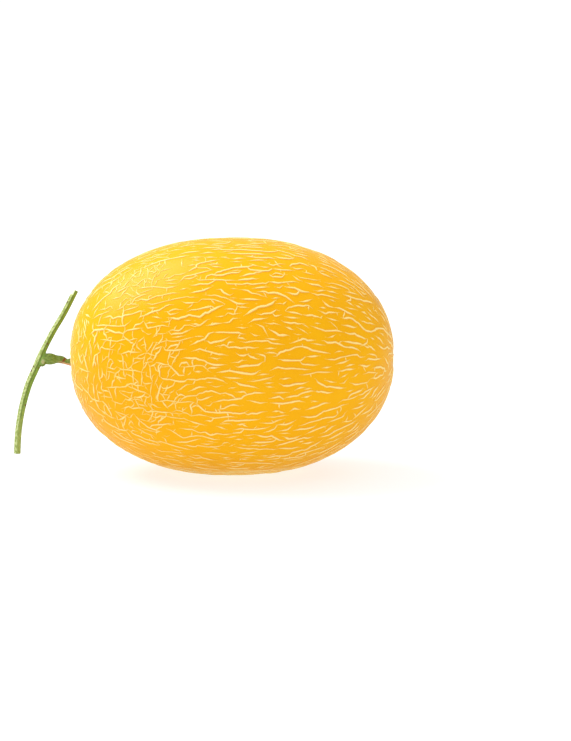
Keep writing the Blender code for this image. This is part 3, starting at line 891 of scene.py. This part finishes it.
def vine_layers(points):
    """Where each of the vine's colours lies, from 0 to 1, and its places when laid straight."""
    reach, straight = beside(points, VINE_ROUTE)
    stalk = smoothstep(*STALK_FROM, reach)
    _, along_stalk = beside(points, STALK_ROUTE)
    # The pale side is partly the vine's own paler skin and partly painted light on the side that faces the
    # light
    turned = np.arctan2(straight[:, 2], straight[:, 1]) - PALE_LIT_TURN
    turned = np.abs((turned + math.pi) % (2 * math.pi) - math.pi)
    pale = 1 - smoothstep(PALE_LIT_HALF - PALE_LIT_EDGE, PALE_LIT_HALF + PALE_LIT_EDGE, turned)
    border = 1 - smoothstep(*BORDER, np.abs(turned - PALE_LIT_HALF - BORDER_TURN))
    light_foot = 1 - smoothstep(*LIGHT_FOOT, points[:, 2])
    low = -along_stalk[:, 1] / np.hypot(along_stalk[:, 1], along_stalk[:, 2])
    crack = 1 - smoothstep(*CRACK_REACH, np.abs((points - CRACK_PLACE) @ CRACK_NORMAL))
    faded = smoothstep(*CRACK_FADE, np.linalg.norm(points - CRACK_HEART, axis=1))
    leaf_mark = np.linalg.norm((points - LEAF_MARK) * LEAF_MARK_SHAPE, axis=1)
    apart = [np.hypot(points[:, 0] - x, points[:, 2] - z) for x, z, _ in SPECKS]
    speck = [1 - smoothstep(SPECK_CORE * size, size, gap) for gap, (_, _, size) in zip(apart, SPECKS)]
    from_end = [np.linalg.norm(points - VINE_ROUTE[end][:3], axis=1) for end in (0, -1)]
    return {
        "straight": np.where(stalk[:, None] > 0.5, along_stalk, straight),
        "stalk": stalk,
        "pale": pale * (1 - stalk),
        "border": border * (1 - stalk) * (1 - light_foot) * BORDER_DARK,
        "light_foot": light_foot,
        "peach": smoothstep(*UNDERSIDE, points[:, 0]) * smoothstep(*UNDERSIDE_TURN, low) * stalk,
        "crack": crack * stalk * (1 - (1 - CRACK_LEFT) * faded),
        "leaf_mark": 1 - smoothstep(*LEAF_MARK_REACH, leaf_mark),
        "speck": np.max(speck, axis=0),
        "cut": (1 - smoothstep(*CUT_FACE, reach)) * (np.min(from_end, axis=0) < CUT_REACH),
    }


def vine(material):
    """The vine, its stalk and the leaf scar grown together: their space filled with cubes and smoothed."""
    mesh = bmesh.new()
    for points, faces in (stick(VINE_ROUTE, torn=True), stick(STALK_ROUTE)):
        verts = [mesh.verts.new(point) for point in points]
        for face in faces:
            mesh.faces.new([verts[i] for i in face])
    scar = bmesh.ops.create_icosphere(mesh, subdivisions=3, radius=1)["verts"]
    bmesh.ops.scale(mesh, verts=scar, vec=LEAF_SCAR_SIZE)
    bmesh.ops.translate(mesh, verts=scar, vec=LEAF_SCAR_PLACE)
    bmesh.ops.recalc_face_normals(mesh, faces=mesh.faces)
    data = bpy.data.meshes.new("vine")
    mesh.to_mesh(data)
    mesh.free()
    made = shown("vine", data)
    remesh = made.modifiers.new("grown together", "REMESH")
    remesh.mode = "VOXEL"
    remesh.voxel_size = VINE_GRAIN
    remesh.use_smooth_shade = True
    soften = made.modifiers.new("softened", "SMOOTH")
    soften.factor = 0.5
    soften.iterations = 3
    bpy.context.view_layer.update()
    grown = bpy.data.meshes.new_from_object(made.evaluated_get(bpy.context.evaluated_depsgraph_get()))
    made.modifiers.clear()
    made.data = grown
    bpy.data.meshes.remove(data)
    grown.name = "vine"
    grown.shade_smooth()
    grown.materials.clear()
    grown.materials.append(material)
    points = np.empty((len(grown.vertices), 3))
    grown.vertices.foreach_get("co", points.ravel())
    add_layers(grown, vine_layers(points))
    return made


def linear(code):
    """Linear RGBA from an sRGB hex code."""
    parts = np.array([int(code[i : i + 2], 16) for i in (0, 2, 4)]) / 255
    parts = np.where(parts <= 0.04045, parts / 12.92, ((parts + 0.055) / 1.055) ** 2.4)
    return (*parts.tolist(), 1.0)


def node(tree, kind, inputs=None, **settings):
    """Adds a node with its settings. Each of its inputs is linked to a socket, or set."""
    made = tree.nodes.new(kind)
    for key, value in settings.items():
        setattr(made, key, value)
    for key, value in (inputs or {}).items():
        if isinstance(value, bpy.types.NodeSocket):
            tree.links.new(value, made.inputs[key])
        else:
            made.inputs[key].default_value = value
    return made


def new_material(name):
    """(material, its node tree, its shader) with nothing linked to the shader but the output."""
    material = bpy.data.materials.new(name)
    material.use_nodes = True
    tree = material.node_tree
    return material, tree, tree.nodes["Principled BSDF"]


def rind_material():
    """Waxy melon rind, grown: a thin wax over coloured skin gives a soft broad shine, not a mirror."""
    material, tree, shader = new_material("waxy yellow rind")
    place = node(tree, "ShaderNodeTexCoord").outputs["Object"]
    # Blotches about 25 mm across, where the sun has reached more or less
    blotch = node(tree, "ShaderNodeTexNoise", {"Vector": place, "Scale": 40.0, "Detail": 3.0})
    blotch = {0: blotch.outputs["Fac"], 6: linear("ECA500"), 7: linear("F2B300")}
    colour = node(tree, "ShaderNodeMix", blotch, data_type="RGBA").outputs[2]
    # Pale flecks 0.5 mm across and about 4 mm apart, longer along the fruit
    drawn_out = node(tree, "ShaderNodeMapping", {0: place, "Scale": (0.45, 1.0, 1.0)}).outputs[0]
    fleck = node(tree, "ShaderNodeTexVoronoi", {"Vector": drawn_out, "Scale": 260.0}).outputs["Distance"]
    fleck = {"Value": fleck, "From Min": 0.05, "From Max": 0.11, "To Min": 0.5, "To Max": 0.0}
    fleck = node(tree, "ShaderNodeMapRange", fleck).outputs["Result"]
    colour = {0: fleck, 6: colour, 7: linear("F9D064")}
    colour = node(tree, "ShaderNodeMix", colour, data_type="RGBA").outputs[2]
    # The scar's dry skin, mottled about 1.5 mm wide
    mottle = node(tree, "ShaderNodeTexNoise", {"Vector": place, "Scale": 700.0, "Detail": 3.0})
    mottle = {"Value": mottle.outputs["Fac"], "From Min": 0.40, "From Max": 0.62}
    mottle = node(tree, "ShaderNodeMapRange", mottle).outputs["Result"]
    dry = {0: mottle, 6: linear("D09A4C"), 7: linear("A87036")}
    dry = node(tree, "ShaderNodeMix", dry, data_type="RGBA").outputs[2]
    for name, other in (("ground", linear("F6DC90")), ("seat", linear("D8B03A")), ("scar", dry)):
        share = node(tree, "ShaderNodeAttribute", attribute_name=name).outputs["Fac"]
        colour = {0: share, 6: colour, 7: other}
        colour = node(tree, "ShaderNodeMix", colour, data_type="RGBA").outputs[2]
    tree.links.new(colour, shader.inputs["Base Color"])
    # Pores about 1.2 mm apart
    pores = node(tree, "ShaderNodeTexNoise", {"Vector": place, "Scale": 830.0, "Detail": 2.0})
    bump = {"Height": pores.outputs["Fac"], "Strength": 0.25, "Distance": 0.0001}
    bump = node(tree, "ShaderNodeBump", bump)
    tree.links.new(bump.outputs["Normal"], shader.inputs["Normal"])
    shader.inputs["Roughness"].default_value = 0.32
    shader.inputs["IOR"].default_value = 1.45
    shader.inputs["Specular IOR Level"].default_value = 0.14
    # The bloom on the wax pales the rind where it is seen edge on
    shader.inputs["Sheen Weight"].default_value = 0.24
    shader.inputs["Sheen Roughness"].default_value = 0.30
    return material


def cork_material():
    """Cork that healed the rind's cracks: dry and matt, cream on the crest; the deep orange at its foot is
    painted shade along the ridge's edges.
    """
    material, tree, shader = new_material("cream cork")
    crest = node(tree, "ShaderNodeAttribute", attribute_name="crest").outputs["Fac"]
    share = node(tree, "ShaderNodeMapRange", {"Value": crest, "From Min": 0.20, "From Max": 0.80})
    # A line's cork is paler where it is broad, as it is thicker there
    broad = node(tree, "ShaderNodeAttribute", attribute_name="broad").outputs["Fac"]
    thick = node(tree, "ShaderNodeMapRange", {"Value": broad, "From Min": 0.0006, "From Max": 0.0014})
    top = {0: thick.outputs["Result"], 6: linear("F2C85C"), 7: linear("F6D884")}
    top = node(tree, "ShaderNodeMix", top, data_type="RGBA").outputs[2]
    # Deep orange at the foot of each ridge: painted shade along its edges, not the cork's own colour
    colour = {0: share.outputs["Result"], 6: linear("E88F10"), 7: top}
    colour = node(tree, "ShaderNodeMix", colour, data_type="RGBA").outputs[2]
    tree.links.new(colour, shader.inputs["Base Color"])
    # Its pits, about 0.5 mm apart
    place = node(tree, "ShaderNodeTexCoord").outputs["Object"]
    pits = node(tree, "ShaderNodeTexNoise", {"Vector": place, "Scale": 2000.0, "Detail": 2.0})
    bump = {"Height": pits.outputs["Fac"], "Strength": 0.5, "Distance": 0.0001}
    bump = node(tree, "ShaderNodeBump", bump)
    tree.links.new(bump.outputs["Normal"], shader.inputs["Normal"])
    shader.inputs["Roughness"].default_value = 0.75
    shader.inputs["IOR"].default_value = 1.40
    return material


def vine_material():
    """Fresh vine skin, grown: matt, fibrous, paler and dashed on one side (partly its own paler skin,
    partly painted light), browned where it cracked.
    """
    material, tree, shader = new_material("green vine skin")
    layers = ["straight", "stalk", "pale", "border", "light_foot"]
    layers += ["peach", "crack", "leaf_mark", "speck", "cut"]
    layer = {name: node(tree, "ShaderNodeAttribute", attribute_name=name).outputs for name in layers}
    # Mottling about 2 mm long, and dashes about 1.5 mm apart on the pale side
    place = layer["straight"]["Vector"]
    stretched = node(tree, "ShaderNodeMapping", {0: place, "Scale": (0.45, 1.0, 1.0)}).outputs[0]
    mottle = node(tree, "ShaderNodeTexNoise", {"Vector": stretched, "Scale": 1100.0, "Detail": 3.0})
    mottled = {"Value": mottle.outputs["Fac"], "From Min": 0.40, "From Max": 0.62}
    mottled = node(tree, "ShaderNodeMapRange", mottled)
    dash = node(tree, "ShaderNodeTexNoise", {"Vector": place, "Scale": 620.0, "Detail": 2.0})
    dashed = {"Value": dash.outputs["Fac"], "From Min": 0.42, "From Max": 0.56}
    dashed = node(tree, "ShaderNodeMapRange", dashed)
    tones = {
        "vine": (mottled, "80A243", "6B8D33"),
        "light_foot": (mottled, "A2B05C", "88994A"),
        "stalk": (mottled, "7C9440", "627A2C"),
        # The pale side's tones: its own paler skin, made paler still as painted light
        "pale": (dashed, "BAC583", "8FA052"),
    }
    tone = {}
    for name, (share, light_tone, dark_tone) in tones.items():
        inputs = {0: share.outputs["Result"], 6: linear(light_tone), 7: linear(dark_tone)}
        tone[name] = node(tree, "ShaderNodeMix", inputs, data_type="RGBA").outputs[2]
    colour = tone["vine"]
    others = [("light_foot", tone["light_foot"]), ("stalk", tone["stalk"]), ("pale", tone["pale"])]
    others += [("border", linear("5C6E2C")), ("cut", linear("C9D09A")), ("peach", linear("C9986A"))]
    others += [("crack", linear("84401F")), ("leaf_mark", linear("AEB07C")), ("speck", linear("6A4A34"))]
    for name, other in others:
        inputs = {0: layer[name]["Fac"], 6: colour, 7: other}
        colour = node(tree, "ShaderNodeMix", inputs, data_type="RGBA").outputs[2]
    tree.links.new(colour, shader.inputs["Base Color"])
    # Fibres about 0.5 mm apart and 4 mm long
    fibrous = node(tree, "ShaderNodeMapping", {0: place, "Scale": (0.12, 1.0, 1.0)}).outputs[0]
    fibres = node(tree, "ShaderNodeTexNoise", {"Vector": fibrous, "Scale": 2000.0, "Detail": 2.0})
    bump = {"Height": fibres.outputs["Fac"], "Strength": 0.6, "Distance": 0.0002}
    bump = node(tree, "ShaderNodeBump", bump)
    tree.links.new(bump.outputs["Normal"], shader.inputs["Normal"])
    shader.inputs["Roughness"].default_value = 0.6
    shader.inputs["Specular IOR Level"].default_value = 0.35
    return material


def lay_floor():
    """The level ground under the fruit: matt white paper with a light of its own."""
    corners = np.array([[-1, -1, 0], [1, -1, 0], [1, 1, 0], [-1, 1, 0]]) * FLOOR_REACH
    paper, tree, shader = new_material("lit white paper")
    shader.inputs["Base Color"].default_value = linear("A8A8A8")
    shader.inputs["Roughness"].default_value = 0.9
    shader.inputs["Emission Color"].default_value = (1, 1, 1, 1)
    glossy_ray = node(tree, "ShaderNodeLightPath").outputs["Is Glossy Ray"]
    glow = node(tree, "ShaderNodeMapRange", {"Value": glossy_ray, "To Min": FLOOR_GLOW, "To Max": 0.0})
    tree.links.new(glow.outputs["Result"], shader.inputs["Emission Strength"])
    floor = finished("floor", corners, [[0, 1, 2, 3]], paper)


def light(name, toward, away, size, power):
    """A square soft light, so far away from the fruit's centre in a direction, and turned to it."""
    lamp = bpy.data.lights.new(name, "AREA")
    lamp.shape = "SQUARE"
    lamp.size = size
    lamp.energy = power
    made = shown(name, lamp)
    made.location = Vector(CENTRE) + Vector(toward).normalized() * away
    made.rotation_euler = Vector([-part for part in toward]).to_track_quat("-Z", "Y").to_euler()


def light_studio():
    """A white room, darker in reflections, with a soft light above the fruit, to its left and behind it."""
    world = bpy.data.worlds.new("white room")
    bpy.context.scene.world = world
    world.use_nodes = True
    tree = world.node_tree
    ray = node(tree, "ShaderNodeLightPath").outputs
    level = {"Value": ray["Is Glossy Ray"], "To Min": ROOM_LEVEL, "To Max": ROOM_GLOSS}
    level = node(tree, "ShaderNodeMapRange", level).outputs["Result"]
    level = {"Value": ray["Is Camera Ray"], "To Min": level, "To Max": 1.0}
    level = node(tree, "ShaderNodeMapRange", level).outputs["Result"]
    tree.links.new(level, tree.nodes["Background"].inputs["Strength"])
    tree.nodes["Background"].inputs["Color"].default_value = (1, 1, 1, 1)
    light("softbox", **SOFTBOX)
    view = bpy.context.scene.view_settings
    view.view_transform = "Standard"


def set_camera():
    """A long lens that looks along +Y and a little down, with the melon where the photo has it."""
    back = np.array([0, -math.cos(CAMERA_RISE), math.sin(CAMERA_RISE)])
    up = np.array([0, math.sin(CAMERA_RISE), math.cos(CAMERA_RISE)])
    shift = (FRAME_PIXELS / 2 - MELON_PIXEL) * METRES_A_PIXEL
    aim = CENTRE + np.array([shift[0], 0, 0]) - up * shift[1]
    data = bpy.data.cameras.new("camera")
    data.sensor_width = SENSOR
    data.lens = SENSOR * CAMERA_DISTANCE / (FRAME_PIXELS[1] * METRES_A_PIXEL)
    data.clip_end = 100
    camera = shown("camera", data)
    camera.location = aim + back * CAMERA_DISTANCE
    camera.rotation_mode = "QUATERNION"
    camera.rotation_quaternion = Vector(-back).to_track_quat("-Z", "Y")
    bpy.context.scene.camera = camera


def dress(piece, cad_node):
    """The piece moves with the melon and stands for its solid, which is hidden."""
    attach(piece, "root")
    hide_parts(cad_node)


cork = cork_material()
main_net, branches, fine_lines = whole_net()
dress(rind(rind_material()), "fruit")
dress(raised_lines("net", main_net, MAIN_WIDTH, MAIN_SECTION, cork), "fruit")
dress(raised_lines("net_branches", branches, BRANCH_WIDTH, FINE_SECTION, cork), "fruit")
dress(raised_lines("net_fine", fine_lines, FINE_WIDTH, FINE_SECTION, cork), "fruit")
dress(vine(vine_material()), "stem")
lay_floor()
light_studio()
set_camera()
